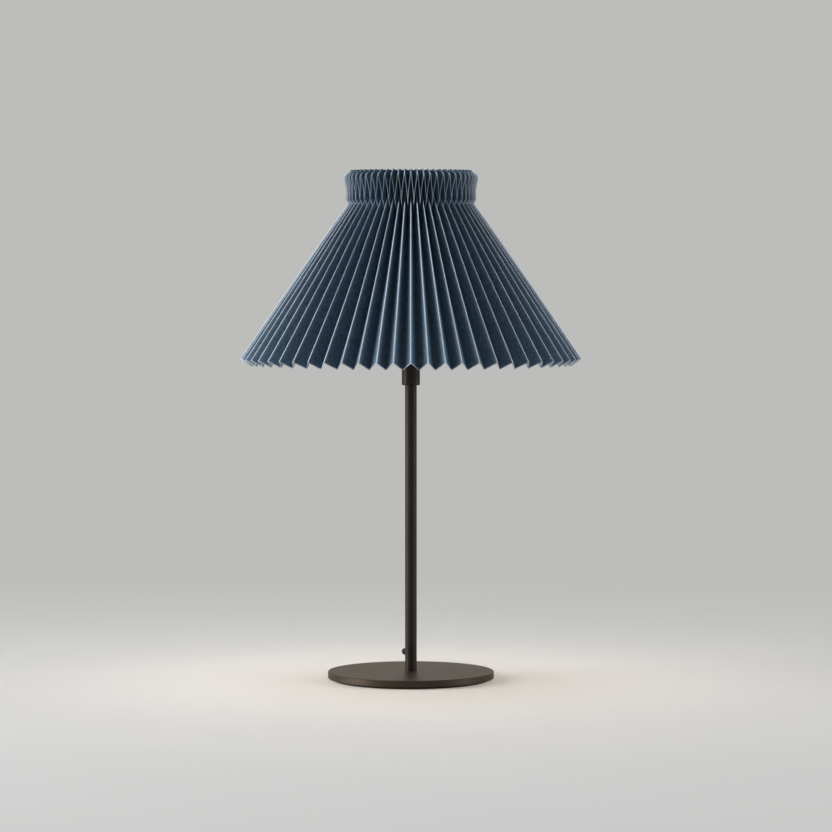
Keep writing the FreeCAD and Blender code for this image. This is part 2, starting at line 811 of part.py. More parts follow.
def bent_rod(points, bend, thickness):
    """A round rod through the points, with a tangent bend of one radius at each inner point."""
    solids = []
    start = points[0]
    for before, corner, after in zip(points, points[1:], points[2:]):
        back = (before - corner).normalize()
        ahead = (after - corner).normalize()
        turn = math.pi - back.getAngle(ahead)
        reach = bend * math.tan(turn / 2)
        first = corner + back * reach
        last = corner + ahead * reach
        centre = corner + (back + ahead).normalize() * (bend / math.cos(turn / 2))
        axis = back.cross(ahead) * -1.0
        section = Part.Face(Part.Wire(Part.makeCircle(thickness, first, back)))
        solids.append(Part.makeCylinder(thickness, (first - start).Length, start, first - start))
        solids.append(section.revolve(centre, axis, math.degrees(turn)))
        start = last
    solids.append(Part.makeCylinder(thickness, (points[-1] - start).Length, start, points[-1] - start))
    return solids[0].fuse(solids[1:])


def mitred_rod(points, thickness):
    """A thin round rod along straight runs that meet in mitres."""
    path = Part.makePolygon(points)
    sweep = Part.BRepOffsetAPI.MakePipeShell(path)
    sweep.setTransitionMode(1)
    sweep.add(Part.Wire(Part.makeCircle(thickness, points[0], points[1] - points[0])))
    sweep.build()
    sweep.makeSolid()
    return sweep.shape()


def make_bulb(doc, s, at):
    """Screw-in bulb: tip, insulator, screw cap, plastic neck and opal globe."""
    tip = turned(doc, "bulb_tip_contact", [
        (0, at["bulb_foot"]),
        (s.bulb_tip_face_radius, at["bulb_foot"]),
        (s.bulb_tip_radius, at["insulator_foot"], s.bulb_tip_radius),
        (0, at["insulator_foot"]),
    ])
    wall = s.bulb_cap_wall
    insulator = turned(doc, "bulb_insulator", [
        (0, at["insulator_foot"]),
        (s.bulb_tip_radius, at["insulator_foot"]),
        (s.bulb_cap_radius - wall * 2, at["bulb_cap_foot"]),
        (0, at["bulb_cap_foot"]),
    ])
    cap = turned(doc, "bulb_screw_cap", [
        (0, at["bulb_cap_foot"]),
        (s.bulb_cap_radius - wall, at["bulb_cap_foot"]),
        (s.bulb_cap_radius, at["bulb_cap_foot"] + wall),
        (s.bulb_cap_radius, at["bulb_neck_foot"]),
        (s.bulb_cap_radius - wall, at["bulb_neck_foot"]),
        (s.bulb_cap_radius - wall, at["bulb_cap_foot"] + wall),
        (0, at["bulb_cap_foot"] + wall),
    ])
    flare = s.bulb_neck_flare
    neck = turned(doc, "bulb_neck", [
        (s.bulb_cap_radius - s.bulb_wall, at["bulb_neck_foot"], flare * -1.0),
        (s.bulb_cap_radius, at["bulb_neck_foot"]),
        (s.bulb_neck_radius, at["globe_foot"], flare),
        (s.bulb_neck_radius - s.bulb_wall, at["globe_foot"]),
    ])
    round_out = s.bulb_globe_radius
    round_in = round_out - s.bulb_wall
    below = math.sqrt(1 - GLOBE_SIDE ** 2)
    shoulder = s.bulb_shoulder_radius
    globe = turned(doc, "bulb_globe", [
        (s.bulb_neck_radius, at["globe_foot"]),
        (round_out * GLOBE_SIDE, at["globe_centre"] - round_out * below, shoulder),
        (0, at["globe_centre"] + round_out, round_out),
        (0, at["globe_centre"] + round_in),
        (round_in * GLOBE_SIDE, at["globe_centre"] - round_in * below, round_in * -1.0),
        (s.bulb_neck_radius - s.bulb_wall, at["globe_foot"], shoulder * -1.0),
    ])
    return [tip, insulator, cap, neck, globe]


def make_cable(doc, s, at):
    """Sheathed cable up the stem, and its two cores to the terminals."""
    foot = s.cable_start_height
    cable_top = at["holder_foot"] + s.cap_floor + s.cable_rise
    cable = rod(doc, "inner_cable", s.cable_radius, cable_top - foot, upright(foot))
    cable.Label = "inner_cable"
    cores = []
    for side, name in ((1, "live_core"), (-1, "neutral_core")):
        start = Vector(side * s.core_spread.value, 0, cable_top.value)
        end = Vector(side * s.terminal_offset.value, 0, at["ledge"].value)
        lead = Vector(0, 0, (end.z - start.z) * CORE_LEAD)
        core = doc.addObject("Part::Feature", name)
        core.Label = name
        core.Shape = mitred_rod([start, start + lead, end - lead, end], s.core_radius.value)
        cores.append(core)
    return [cable] + cores


def check_document(doc):
    for item in doc.Objects:
        if "Invalid" in item.State or "Error" in item.State:
            raise RuntimeError("%s did not recompute: %s" % (item.Name, item.State))


def export_pieces(pieces):
    os.makedirs("parts", exist_ok=True)
    for piece in pieces:
        shape = piece.Shape
        if shape.isNull() or not shape.isValid():
            raise RuntimeError("%s has no valid shape" % piece.Label)
        shape.exportStep("parts/%s.step" % piece.Label)
        print("%-18s %9.1f mm3  %d solid(s)" % (piece.Label, shape.Volume, len(shape.Solids)))


def main():
    doc = FreeCAD.newDocument("pleated_table_lamp")
    s = Sizes(make_sheet(doc))
    at = make_levels(s)
    fold = Fold(s)
    for word, line in (("ridge", fold.ridge_side), ("valley", fold.valley_side)):
        print(word, ["%.1f, %.1f" % point for point in line])
    pieces = make_foot(doc, s, at)
    pieces += make_stem(doc, s, at)
    pieces += make_neck(doc, s, at)
    pieces += make_lampholder(doc, s, at)
    pieces += make_ring_nut(doc, s, at)
    pieces += make_carrier(doc, s, at, fold)
    pieces += make_shade(doc, s, fold)
    pieces += make_bulb(doc, s, at)
    pieces += make_cable(doc, s, at)
    doc.recompute()
    check_document(doc)
    export_pieces(pieces)


main()
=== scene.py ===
"""Pleated paper table lamp: the look of each piece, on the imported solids."""

import functools
import logging
import math
from dataclasses import dataclass, replace
from enum import Enum

import bpy
import numpy as np
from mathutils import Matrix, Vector


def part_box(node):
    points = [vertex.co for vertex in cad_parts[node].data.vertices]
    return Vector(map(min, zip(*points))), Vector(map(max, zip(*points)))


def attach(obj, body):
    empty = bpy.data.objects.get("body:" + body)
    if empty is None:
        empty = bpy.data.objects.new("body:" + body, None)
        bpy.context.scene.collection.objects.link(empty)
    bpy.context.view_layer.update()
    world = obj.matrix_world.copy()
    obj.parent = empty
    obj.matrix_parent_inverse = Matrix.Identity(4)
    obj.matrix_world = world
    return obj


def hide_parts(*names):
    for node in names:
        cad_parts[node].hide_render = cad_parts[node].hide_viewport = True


LOG = logging.getLogger("pleated_lamp")
MM = 0.001

# Two radii closer than this count as the same.
NEAR = 0.001 * MM
# Edges that turn by more than this stay sharp.
SHARP_ANGLE = math.radians(32)
# Most values of a noise lie between these two.
NOISE_LOW, NOISE_HIGH = 0.3, 0.7

Colour = tuple[float, float, float]
# Three numbers along the axes: a place or a scale.
Axes = tuple[float, float, float]
Socket = bpy.types.NodeSocket


class Skin(Enum):
    """The two faces of the shade's paper, by their material index."""

    OUTSIDE = 0
    INSIDE = 1


class Space(Enum):
    """Where a finish reads its pattern: the piece's own place, or its flattened map."""

    OBJECT = "Object"
    MAP = "UV"


# ---- finishes ----


class NodeBoard:
    """The node tree of a material or of the world, with short calls to add and join nodes."""

    def __init__(self, owner: bpy.types.Material | bpy.types.World) -> None:
        """Open the tree of a new owner, which has a shader and an output."""
        owner.use_nodes = True
        self.owner = owner
        self.tree = owner.node_tree
        self.shader, self.output = self.tree.nodes

    def add(self, kind: str, links: dict | None = None, **settings: object) -> bpy.types.Node:
        """Add a node.

        Args:
            kind: Name of the node type, without its ShaderNode prefix.
            links: Socket name or number to the value, or to the output socket that feeds it.
            settings: Properties of the node itself.
        """
        node = self.tree.nodes.new("ShaderNode" + kind)
        for key, value in settings.items():
            setattr(node, key, value)
        for key, value in (links or {}).items():
            self.feed(node.inputs[key], value)
        return node

    def feed(self, socket: Socket, value: object) -> None:
        """Set an input to a number, colour or vector, or join another node's output to it."""
        if isinstance(value, Socket):
            self.tree.links.new(value, socket)
        else:
            socket.default_value = value

    def place(self, space: Space, stretch: Axes = (1.0, 1.0, 1.0)) -> Socket:
        """Give the pattern's coordinates, where a small stretch along an axis draws it out."""
        source = self.add("TexCoord").outputs[space.value]
        return self.add("Mapping", {"Vector": source, "Scale": stretch}).outputs["Vector"]

    def noise(self, place: Socket, scale: float, detail: float, roughness: float = 0.55) -> Socket:
        """Give a noise value from 0 to 1.

        Args:
            place: The coordinates, in metres.
            scale: Features per metre.
            detail: Octaves of finer noise.
            roughness: Strength of the finer octaves.
        """
        links = {"Vector": place, "Scale": scale, "Detail": detail, "Roughness": roughness}
        return self.add("TexNoise", links).outputs["Fac"]

    def ramp(self, value: Socket, stops: list[tuple[float, Colour]]) -> Socket:
        """Turn a value from 0 to 1 into a colour, by rising positions and their colours."""
        node = self.add("ValToRGB", {"Fac": value})
        elements = node.color_ramp.elements
        while len(elements) < len(stops):
            elements.new(1.0)
        for element, (position, colour) in zip(elements, stops):
            element.position = position
            element.color = (*colour, 1.0)
        return node.outputs["Color"]

    def tones(self, noise: Socket, colour: Colour, low: float, high: float) -> Socket:
        """Let a noise carry a colour from its low share to its high share."""
        return self.ramp(noise, [(NOISE_LOW, scaled(colour, low)), (NOISE_HIGH, scaled(colour, high))])

    def spread(self, value: Socket, low: float, high: float,
               start: float = NOISE_LOW, stop: float = NOISE_HIGH) -> Socket:
        """Carry a value from the range start to stop to the range low to high, smoothly."""
        links = {"Value": value, "From Min": start, "From Max": stop, "To Min": low, "To Max": high}
        return self.add("MapRange", links, interpolation_type="SMOOTHSTEP").outputs["Result"]

    def combine(self, operation: str, first: Socket, second: Socket) -> Socket:
        """Join two values by a sum, product or other operation."""
        return self.add("Math", {0: first, 1: second}, operation=operation).outputs[0]

    def mix(self, share: float | Socket, first: Socket, second: Socket) -> Socket:
        """Blend two colours, by the share of the second."""
        node = self.add("Mix", {"Factor": share}, data_type="RGBA")
        self.feed(node.inputs["A"], first)
        self.feed(node.inputs["B"], second)
        return node.outputs["Result"]

    def bump(self, height: Socket, depth: float) -> Socket:
        """Give the normal of a bumpy surface, whose full step from 0 to 1 is the depth in metres."""
        return self.add("Bump", {"Height": height, "Distance": depth}).outputs["Normal"]

    def finish(self, inputs: dict[str, object]) -> bpy.types.Material | bpy.types.World:
        """Feed the shader's inputs by name, and give the owner."""
        for key, value in inputs.items():
            self.feed(self.shader.inputs[key], value)
        return self.owner


def scaled(colour: Colour, share: float) -> Colour:
    """Give the colour times a share, with no part over 1."""
    return tuple(min(1.0, part * share) for part in colour)


@dataclass(frozen=True)
class Finish:
    """A coated, moulded, turned or rolled surface with its fine grain.

    Attributes:
        colour: Mean colour.
        roughness: Mean roughness.
        metallic: 1 for bare metal, 0 for plastic and a share between for a coat with metal flakes.
        mottle: How far the colour wanders from its mean, as a share.
        sheen_change: How far the roughness wanders from its mean.
        grain: Grain size as features per metre.
        grain_depth: Real depth of the grain in metres.
        stretch: Scale along the axes; a small value draws the grain out into streaks.
        coat: Weight of a clear gloss layer.
        clouds: Features per metre of the slow change of colour and roughness.
        tint: Colour of what the surface mirrors.
        gloss: How strongly it mirrors, where 0.5 is a plain varnish.
    """

    name: str
    colour: Colour
    roughness: float = 0.5
    metallic: float = 0.0
    mottle: float = 0.12
    sheen_change: float = 0.06
    grain: float = 2500.0
    grain_depth: float = 0.02 * MM
    stretch: Axes = (1.0, 1.0, 1.0)
    coat: float = 0.0
    clouds: float = 45.0
    tint: Colour = (1.0, 1.0, 1.0)
    gloss: float = 0.5

    def build(self) -> bpy.types.Material:
        """Make the material."""
        board = NodeBoard(bpy.data.materials.new(self.name))
        place = board.place(Space.OBJECT, self.stretch)
        slow = board.noise(place, self.clouds, detail=5.0)
        fine = board.noise(place, self.grain, detail=3.0, roughness=0.6)
        return board.finish({
            "Base Color": board.tones(slow, self.colour, 1.0 - self.mottle, 1.0 + self.mottle),
            "Roughness": board.spread(slow, self.roughness - self.sheen_change,
                                      self.roughness + self.sheen_change),
            "Metallic": self.metallic,
            "Coat Weight": self.coat,
            "Specular Tint": (*self.tint, 1.0),
            "Specular IOR Level": self.gloss,
            "Normal": board.bump(fine, self.grain_depth),
        })


@dataclass(frozen=True)
class PaperFinish:
    """Dyed paper with pale lines along its folds and its cut edge, partly worn paper and partly painted
    highlight, and a faint painted highlight beside each long fold.

    The folds are read from three attributes of the shade, each a distance in metres: fold from
    the nearest long outer fold, cross from the collar's crossing folds and edge from the hem.

    Attributes:
        colour: Colour of the flat faces.
        fold_colour: Colour along an outer fold, partly worn paper and partly painted highlight.
        roughness: Mean roughness.
        sheen_change: How far the roughness wanders from its mean.
        gloss: How strongly it mirrors, where 0.5 is a plain varnish.
        fold_width: Distance from a long fold at which its pale line has faded.
        cross_width: The same for the crossing folds.
        edge_width: The same for the cut edge.
        core_share: Share of that distance within which the line is palest.
        painted_halo_width: Distance from a long fold at which its faint painted highlight has faded.
        painted_halo_share: Strength of that painted highlight.
        fibre: Fibres per metre across the strip.
        weave: Coarser threads per metre across the strip.
        drawn_out: Scale of both on the map, which draws them out along the strip.
        thread_range: Sums of fibre and weave that give the darkest and the palest paper.
        thread_shares: These two, as shares of the colour.
        clouds: Features per metre of the slow change of colour.
        cloud_shares: Its darkest and palest, as shares of the colour.
        cloud_weight: Weight of the clouds against the threads.
        fold_fade: Least share of the fold's colour.
        wear: Features per metre of the wear of the pale lines.
        least_wear: Least strength of a pale line.
        grain_depth: Real depth of the paper's grain in metres.
    """

    name: str
    colour: Colour
    fold_colour: Colour
    roughness: float = 0.55
    sheen_change: float = 0.07
    gloss: float = 0.25
    fold_width: float = 1.7 * MM
    cross_width: float = 1.8 * MM
    edge_width: float = 1.2 * MM
    core_share: float = 0.15
    painted_halo_width: float = 5.2 * MM
    painted_halo_share: float = 0.1
    fibre: float = 1500.0
    weave: float = 520.0
    drawn_out: Axes = (1.0, 0.3, 1.0)
    thread_range: tuple[float, float] = (0.7, 1.3)
    thread_shares: tuple[float, float] = (0.46, 1.5)
    clouds: float = 28.0
    cloud_shares: tuple[float, float] = (0.85, 1.15)
    cloud_weight: float = 0.3
    fold_fade: float = 0.85
    wear: float = 260.0
    least_wear: float = 0.8
    grain_depth: float = 0.08 * MM

    def build(self) -> bpy.types.Material:
        """Make the material."""
        board = NodeBoard(bpy.data.materials.new(self.name))
        flat = board.place(Space.MAP)
        drawn = board.place(Space.MAP, self.drawn_out)
        fibres = board.noise(drawn, self.fibre, detail=4.0, roughness=0.7)
        weave = board.noise(drawn, self.weave, detail=2.0, roughness=0.6)
        threads = board.combine("ADD", fibres, weave)
        darkest, palest = (scaled(self.colour, share) for share in self.thread_shares)
        contrast = board.spread(threads, 0.0, 1.0, *self.thread_range)
        paper = board.ramp(contrast, [(0.0, darkest), (1.0, palest)])
        clouds = board.noise(flat, self.clouds, detail=3.0)
        ground = board.mix(self.cloud_weight, paper, board.tones(clouds, self.colour, *self.cloud_shares))

        distance = {name: board.add("Attribute", attribute_name=name).outputs["Fac"]
                    for name in ("fold", "cross", "edge")}
        widths = {"fold": self.fold_width, "cross": self.cross_width, "edge": self.edge_width}
        # Painted highlight: a faint halo beside each long fold, under pale lines along the folds and the
        # cut edge that are partly worn paper and partly painted highlight.
        pale = board.spread(distance["fold"], self.painted_halo_share, 0.0, 0.0, self.painted_halo_width)
        for name, width in widths.items():
            line = board.spread(distance[name], 1.0, 0.0, width * self.core_share, width)
            pale = board.combine("MAXIMUM", pale, line)
        wear = board.spread(board.noise(flat, self.wear, detail=4.0, roughness=0.7), self.least_wear, 1.0)
        worn_paper_and_highlight = board.combine("MULTIPLY", pale, wear)
        return board.finish({
            "Base Color": board.mix(worn_paper_and_highlight, ground,
                                    board.tones(clouds, self.fold_colour, self.fold_fade, 1.0)),
            "Roughness": board.spread(fibres, self.roughness - self.sheen_change,
                                      self.roughness + self.sheen_change),
            "Normal": board.bump(threads, self.grain_depth),
            "Specular IOR Level": self.gloss,
        })


@dataclass(frozen=True)
class OpalFinish:
    """Opal glass that glows evenly.

    Attributes:
        colour: Colour of the glass.
        glow: Colour of its light.
        strength: Strength of its light.
        clouds: Features per metre of the slow change of colour and roughness.
        fade: Least share of the glass's colour.
        glow_fade: Least share of the light's colour.
        roughness: Least and greatest roughness.
        coat: Weight of a clear gloss layer.
    """

    name: str
    colour: Colour
    glow: Colour
    strength: float
    clouds: float = 60.0
    fade: float = 0.97
    glow_fade: float = 0.96
    roughness: tuple[float, float] = (0.16, 0.22)
    coat: float = 0.4

    def build(self) -> bpy.types.Material:
        """Make the material."""
        board = NodeBoard(bpy.data.materials.new(self.name))
        clouds = board.noise(board.place(Space.OBJECT), self.clouds, detail=3.0)
        return board.finish({
            "Base Color": board.tones(clouds, self.colour, self.fade, 1.0),
            "Roughness": board.spread(clouds, *self.roughness),
            "Emission Color": board.tones(clouds, self.glow, self.glow_fade, 1.0),
            "Emission Strength": self.strength,
            "Coat Weight": self.coat,
        })


@functools.cache
def material_of(finish: Finish | PaperFinish | OpalFinish) -> bpy.types.Material:
    """Make a finish's material once, and give the same one to every piece that wears it."""
    return finish.build()


BRONZE = Finish("bronze_coat", (0.020, 0.0165, 0.0137), roughness=0.41, metallic=0.2, mottle=0.1,
                grain=3200.0, tint=(1.0, 0.9, 0.8), gloss=0.2)
# The foot's copy of the stem's bronze coat is lighter and warmer: painted light where its top face
# catches the lights and the lamp's glow.
PAINTED_LIGHT_FOOT_BRONZE = replace(BRONZE, name="bronze_foot_painted_light", colour=(0.046, 0.034, 0.025), mottle=0.04,
                      sheen_change=0.015, metallic=0.45, tint=(1.0, 0.86, 0.72), gloss=0.45)
RUBBER = Finish("foot_rubber", (0.018, 0.017, 0.016), roughness=0.85, mottle=0.25, grain=1800.0,
                grain_depth=0.1 * MM)
ZINC = Finish("zinc_plate", (0.6, 0.6, 0.58), roughness=0.32, metallic=1.0, mottle=0.08,
              stretch=(1.0, 1.0, 0.2))
BLACK_PLASTIC = Finish("black_plastic", (0.008, 0.008, 0.008), roughness=0.65, gloss=0.2)
BAKELITE = Finish("bakelite", (0.016, 0.015, 0.014), roughness=0.28, mottle=0.1, grain=900.0,
                  grain_depth=0.005 * MM, coat=0.3)
STEATITE = Finish("steatite", (0.78, 0.75, 0.68), roughness=0.6, mottle=0.05, grain=1600.0,
                  grain_depth=0.04 * MM)
BRASS = Finish("brass", (0.7, 0.5, 0.23), roughness=0.3, metallic=1.0, stretch=(1.0, 1.0, 0.25))
SHEATH = Finish("cable_sheath", (0.02, 0.02, 0.02), roughness=0.6)
BROWN_CORE = Finish("brown_insulation", (0.16, 0.06, 0.025), roughness=0.45)
BLUE_CORE = Finish("blue_insulation", (0.03, 0.13, 0.42), roughness=0.45)
WHITE_WIRE = Finish("white_dip_coat", (0.75, 0.74, 0.7), roughness=0.36, mottle=0.06, grain=700.0,
                    grain_depth=0.06 * MM, coat=0.2)
CAP_METAL = Finish("rolled_cap", (0.72, 0.71, 0.69), roughness=0.28, metallic=1.0, mottle=0.08,
                   stretch=(1.0, 1.0, 0.3))
SOLDER = Finish("solder", (0.55, 0.55, 0.53), roughness=0.38, metallic=1.0, grain=1200.0,
                grain_depth=0.08 * MM)
VITRITE = Finish("vitrite", (0.012, 0.012, 0.018), roughness=0.12, coat=0.5)
BULB_PLASTIC = Finish("bulb_plastic", (0.8, 0.79, 0.76), roughness=0.4, mottle=0.04)
LINING = Finish("pale_lining", (0.30, 0.37, 0.45), roughness=0.6, mottle=0.04, grain=1500.0,
                grain_depth=0.05 * MM)
OPAL = OpalFinish("opal_glass", (0.86, 0.83, 0.78), (1.0, 0.76, 0.52), 45.0)
# The paper's fold colour is partly worn paper and partly painted highlight.
PAPER = PaperFinish("blue_paper", (0.069, 0.121, 0.180), (0.77, 0.87, 0.98))


# ---- surfaces ----


def lattice(rows: int, columns: int, wrap_rows: bool) -> tuple[np.ndarray, np.ndarray]:
    """Join a grid of points, closed round its columns, into four-cornered faces.

    Face (r, c) has the corners (r, c), (r, c + 1), (r + 1, c + 1) and (r + 1, c). Where columns
    run round the Z axis against the clock and rows run up, its normal points outwards.

    Args:
        rows: Rows of points.
        columns: Points in a row.
        wrap_rows: Whether the last row joins the first.

    Returns:
        Row numbers and column numbers of the corners, each of shape (faces, 4). Column numbers
        run on to the count of columns where the grid closes, so that a map can run on too.
    """
    bands = rows if wrap_rows else rows - 1
    row, column = np.meshgrid(np.arange(bands), np.arange(columns), indexing="ij")
    row, column = row.ravel(), column.ravel()
    following = (row + 1) % rows
    corner_rows = np.stack([row, row, following, following], axis=1)
    corner_columns = np.stack([column, column + 1, column + 1, column], axis=1)
    return corner_rows, corner_columns


def surface(name: str, points: np.ndarray, materials: list[bpy.types.Material], wrap_rows: bool = True,
            face_material: np.ndarray | None = None, corner_map: np.ndarray | None = None,
            attributes: dict[str, np.ndarray] | None = None) -> bpy.types.Object:
    """Make an object from a grid of points that closes round its columns.

    Args:
        name: The piece's name.
        points: Places in metres, of shape (rows, columns, 3).
        materials: The piece's materials.
        wrap_rows: Whether the last row joins the first.
        face_material: Material number of each face.
        corner_map: Flattened place of each face's corners, of shape (faces, 4, 2).
        attributes: Named values of the points, each of shape (rows, columns).

    Returns:
        The object.
    """
    rows, columns = points.shape[:2]
    corner_rows, corner_columns = lattice(rows, columns, wrap_rows)
    corners = (corner_rows * columns + corner_columns % columns).astype(np.int32)
    mesh = bpy.data.meshes.new(name)
    mesh.vertices.add(rows * columns)
    mesh.vertices.foreach_set("co", points.reshape(-1).astype(np.float32))
    mesh.loops.add(corners.size)
    mesh.loops.foreach_set("vertex_index", corners.reshape(-1))
    mesh.polygons.add(len(corners))
    mesh.polygons.foreach_set("loop_start", np.arange(0, corners.size, 4, dtype=np.int32))
    for material in materials:
        mesh.materials.append(material)
    if face_material is not None:
        mesh.polygons.foreach_set("material_index", face_material.astype(np.int32))
    mesh.update(calc_edges=True)
    mesh.polygons.foreach_set("use_smooth", np.ones(len(corners), dtype=bool))
    if corner_map is not None:
        layer = mesh.uv_layers.new(name="flat")
        layer.data.foreach_set("uv", corner_map.reshape(-1).astype(np.float32))
    for key, values in (attributes or {}).items():
        layer = mesh.attributes.new(key, "FLOAT", "POINT")
        layer.data.foreach_set("value", values.reshape(-1).astype(np.float32))
    mesh.set_sharp_from_angle(angle=SHARP_ANGLE)
    mesh.validate()
    piece = bpy.data.objects.new(name, mesh)
    bpy.context.scene.collection.objects.link(piece)
    return piece


def turned(profile: np.ndarray, segments: int, ripple: np.ndarray, depth: float,
           pitch: float) -> np.ndarray:
    """Turn a closed outline about the Z axis, with a screw thread where it is asked for.

    A point at radius r and height z goes to (r' cos a, r' sin a, z) for each angle a. On a
    threaded stretch r' is r less half the thread's depth times 1 - cos(2 pi (z / pitch) - a), so
    the crest reaches r and runs up the pitch in a turn.

    Args:
        profile: Radius and height of the outline's points, of shape (points, 2).
        segments: Points round the axis.
        ripple: Share of the thread's depth at each point.
        depth: The thread's depth.
        pitch: Rise of the thread in a turn.

    Returns:
        Places of shape (points, segments, 3).
    """
    angle = np.linspace(0.0, 2.0 * math.pi, segments, endpoint=False)
    radius = np.repeat(profile[:, :1], segments, axis=1)
    height = np.repeat(profile[:, 1:], segments, axis=1)
    wave = 1.0 - np.cos(2.0 * math.pi * height / pitch - angle[None, :])
    radius = radius - 0.5 * depth * ripple[:, None] * wave
    return np.stack([radius * np.cos(angle), radius * np.sin(angle), height], axis=-1)


def outline_of(*corners: tuple[float, float, int]) -> np.ndarray:
    """Join corners into a closed outline.

    Args:
        corners: Radius, height and points of each corner's side. The points run from the corner
            up to, not with, the next one, and where there are none the corner is left out.

    Returns:
        Radius and height of the points.
    """
    places = np.array([corner[:2] for corner in corners])
    return np.concatenate([
        start + np.linspace(0.0, 1.0, count, endpoint=False)[:, None] * (stop - start)
        for start, stop, (_, _, count) in zip(places, np.roll(places, -1, axis=0), corners)])


def thread_share(height: np.ndarray, foot: float, top: float, pitch: float) -> np.ndarray:
    """Give the share of a thread's depth, which grows over one pitch from each of its ends."""
    return np.clip((height - foot) / pitch, 0.0, 1.0) * np.clip((top - height) / pitch, 0.0, 1.0)


# ---- the shade ----


@dataclass
class PaperShade:
    """The folded paper shade: a cone of pleats, folded back twice into a collar.

    The strip is folded to and fro into pleats of one width. In a plane through the lamp's axis
    each pleat is a band between a ridge line and a valley line, and two crossing folds mirror
    that band, first at the neck and then along the V-shaped folds of the collar. Lengths are in
    metres, and a place in that plane is (radius, height).

    The hem is the ridges' lower end, and foot and brow are the V-shaped folds' lower and upper
    ends. The collar bows out by the swell. The cone stands out from straight lines by the
    fullness, and in its middle by the bow as well. Near the top edge the valleys' ends curl in by
    the curl's lean and stop its dip below the edge. Bunching and waver turn the folds, in radians.
    The long folds' roundings are shares of the pleat's width. The crossing folds' rounding is a
    length, in multiples of which the rows near them are spaced. The paper fills the layer share
    of the room between its layers, which beside a crossing fold is the cross sine times the
    distance from it. The line widening power widens the pale lines, partly worn paper and partly
    painted highlight, where the pleats are tight, and the collar's line scale narrows them there.
    Across gives the points from a ridge (0) to a valley (1).
    """

    pleat_count: int = 60
    pleat_width: float = 15.7 * MM
    paper: float = 0.4 * MM
    hem: tuple[float, float] = (174.1 * MM, 329.5 * MM)
    cone_angle: float = math.radians(34.6)
    foot: tuple[float, float] = (66.8 * MM, 491.0 * MM)
    brow: tuple[float, float] = (64.8 * MM, 518.6 * MM)
    swell: float = 3.4 * MM
    swell_power: int = 4
    fullness: float = 0.85 * MM
    neck_power: int = 8
    bow: float = 0.5 * MM
    bunching: float = 0.019
    bunches: int = 4
    top_height: float = 521.0 * MM
    curl_start: float = 0.82
    curl_lean: float = 1.0 * MM
    curl_dip: float = 1.6 * MM
    front: float = -math.pi / 2
    ridge_round: float = 0.085
    valley_round: float = 0.02
    cross_round: float = 0.35 * MM
    cross_rows: tuple[float, ...] = (-1.2, -0.4, 0.4, 1.2)
    cross_clear: float = 3.0
    layer_share: float = 0.9
    cross_sine: float = 0.16
    least_paper: float = 0.02 * MM
    waver: float = 0.0035
    line_widening_power: float = 0.55
    collar_line_scale: float = 1.25
    seed: int = 7
    across: tuple[float, ...] = (0.0, 0.035, 0.075, 0.13, 0.24, 0.45, 0.7, 0.9, 0.97, 1.0)
    long_rows: int = 14
    short_rows: int = 5

    def depth(self, radius: float) -> float:
        """Give a pleat's depth, from its width and half its pitch, by the right triangle."""
        half_pitch = radius * math.sin(math.pi / self.pleat_count)
        return math.sqrt(self.pleat_width ** 2 - half_pitch ** 2)

    def fold_lines(self) -> tuple[np.ndarray, np.ndarray]:
        """Work out the ridge and valley lines of one pleat.

        A direction that leans by an angle from the vertical is (sin, cos) of it. The valley line
        lies one pleat depth inside the ridge line, and the neck is where the cone's lines meet the
        lines that come back from the collar's folds. Near the top edge the soft paper of the
        valleys curls up, so that the edge looks level.

        Returns:
            Radius and height at the hem, neck, brow, curl and top, for ridges and for valleys.
        """
        hem, foot, brow = (np.array(point) for point in (self.hem, self.foot, self.brow))
        lean = -self.cone_angle
        crease = brow - foot
        crease_lean = math.atan2(crease[0], crease[1])
        spread = math.asin(self.depth(brow[0]) / np.hypot(*crease))
        up = crease_lean + spread
        top_lean = crease_lean - spread
        hem_valley = hem - self.depth(hem[0]) * sideways(lean)
        neck_ridge = meet(hem, lean, brow, up)
        inward = neck_ridge - self.depth(foot[0] - self.pleat_width) * sideways(lean) - hem_valley
        neck_valley = meet(hem_valley, math.atan2(inward[0], inward[1]), foot, up)
        rise = (self.top_height - brow[1]) / math.cos(top_lean)
        top_ridge = brow + rise * upwards(top_lean)
        top_valley = top_ridge - self.depth(brow[0]) * sideways(top_lean)
        bend_ridge = brow + self.curl_start * (top_ridge - brow)
        bend_valley = foot + self.curl_start * (top_valley - foot)
        curled = np.array([bend_valley[0] - self.curl_lean, self.top_height - self.curl_dip])
        ridge = np.array([hem, neck_ridge, brow, bend_ridge, top_ridge])
        return ridge, np.array([hem_valley, neck_valley, foot, bend_valley, curled])

    def rows(self, ridge: np.ndarray, valley: np.ndarray) -> tuple[np.ndarray, np.ndarray]:
        """Space the rows along the strip, close together at the crossing folds.

        Returns:
            The folds' places and the rows' places, as mean lengths along the strip from the hem.
        """
        steps = (run_lengths(ridge) + run_lengths(valley)) / 2
        knots = np.concatenate([[0.0], np.cumsum(steps)])
        clear = self.cross_clear * self.cross_round
        parts = [np.linspace(0.0, knots[1] - clear, self.long_rows)]
        for knot, following in zip(knots[1:-1], knots[2:]):
            parts.append(knot + self.cross_round * np.array(self.cross_rows))
            parts.append(np.linspace(knot + clear, following - clear, self.short_rows))
        parts.append(knots[-1:])
        return knots, np.concatenate(parts)

    def columns(self) -> tuple[np.ndarray, np.ndarray, np.ndarray]:
        """Lay out the columns of points round the shade.

        Returns:
            For each column its share t of the way from ridge to valley, whether the strip runs
            down to a valley there and not up to the next ridge, and its pleat's number.
        """
        share = np.array(self.across)
        steps = len(share) - 1
        t = np.tile(np.concatenate([share[:-1], share[::-1][:-1]]), self.pleat_count)
        falling = np.tile(np.repeat([True, False], steps), self.pleat_count)
        return t, falling, np.repeat(np.arange(self.pleat_count), 2 * steps)

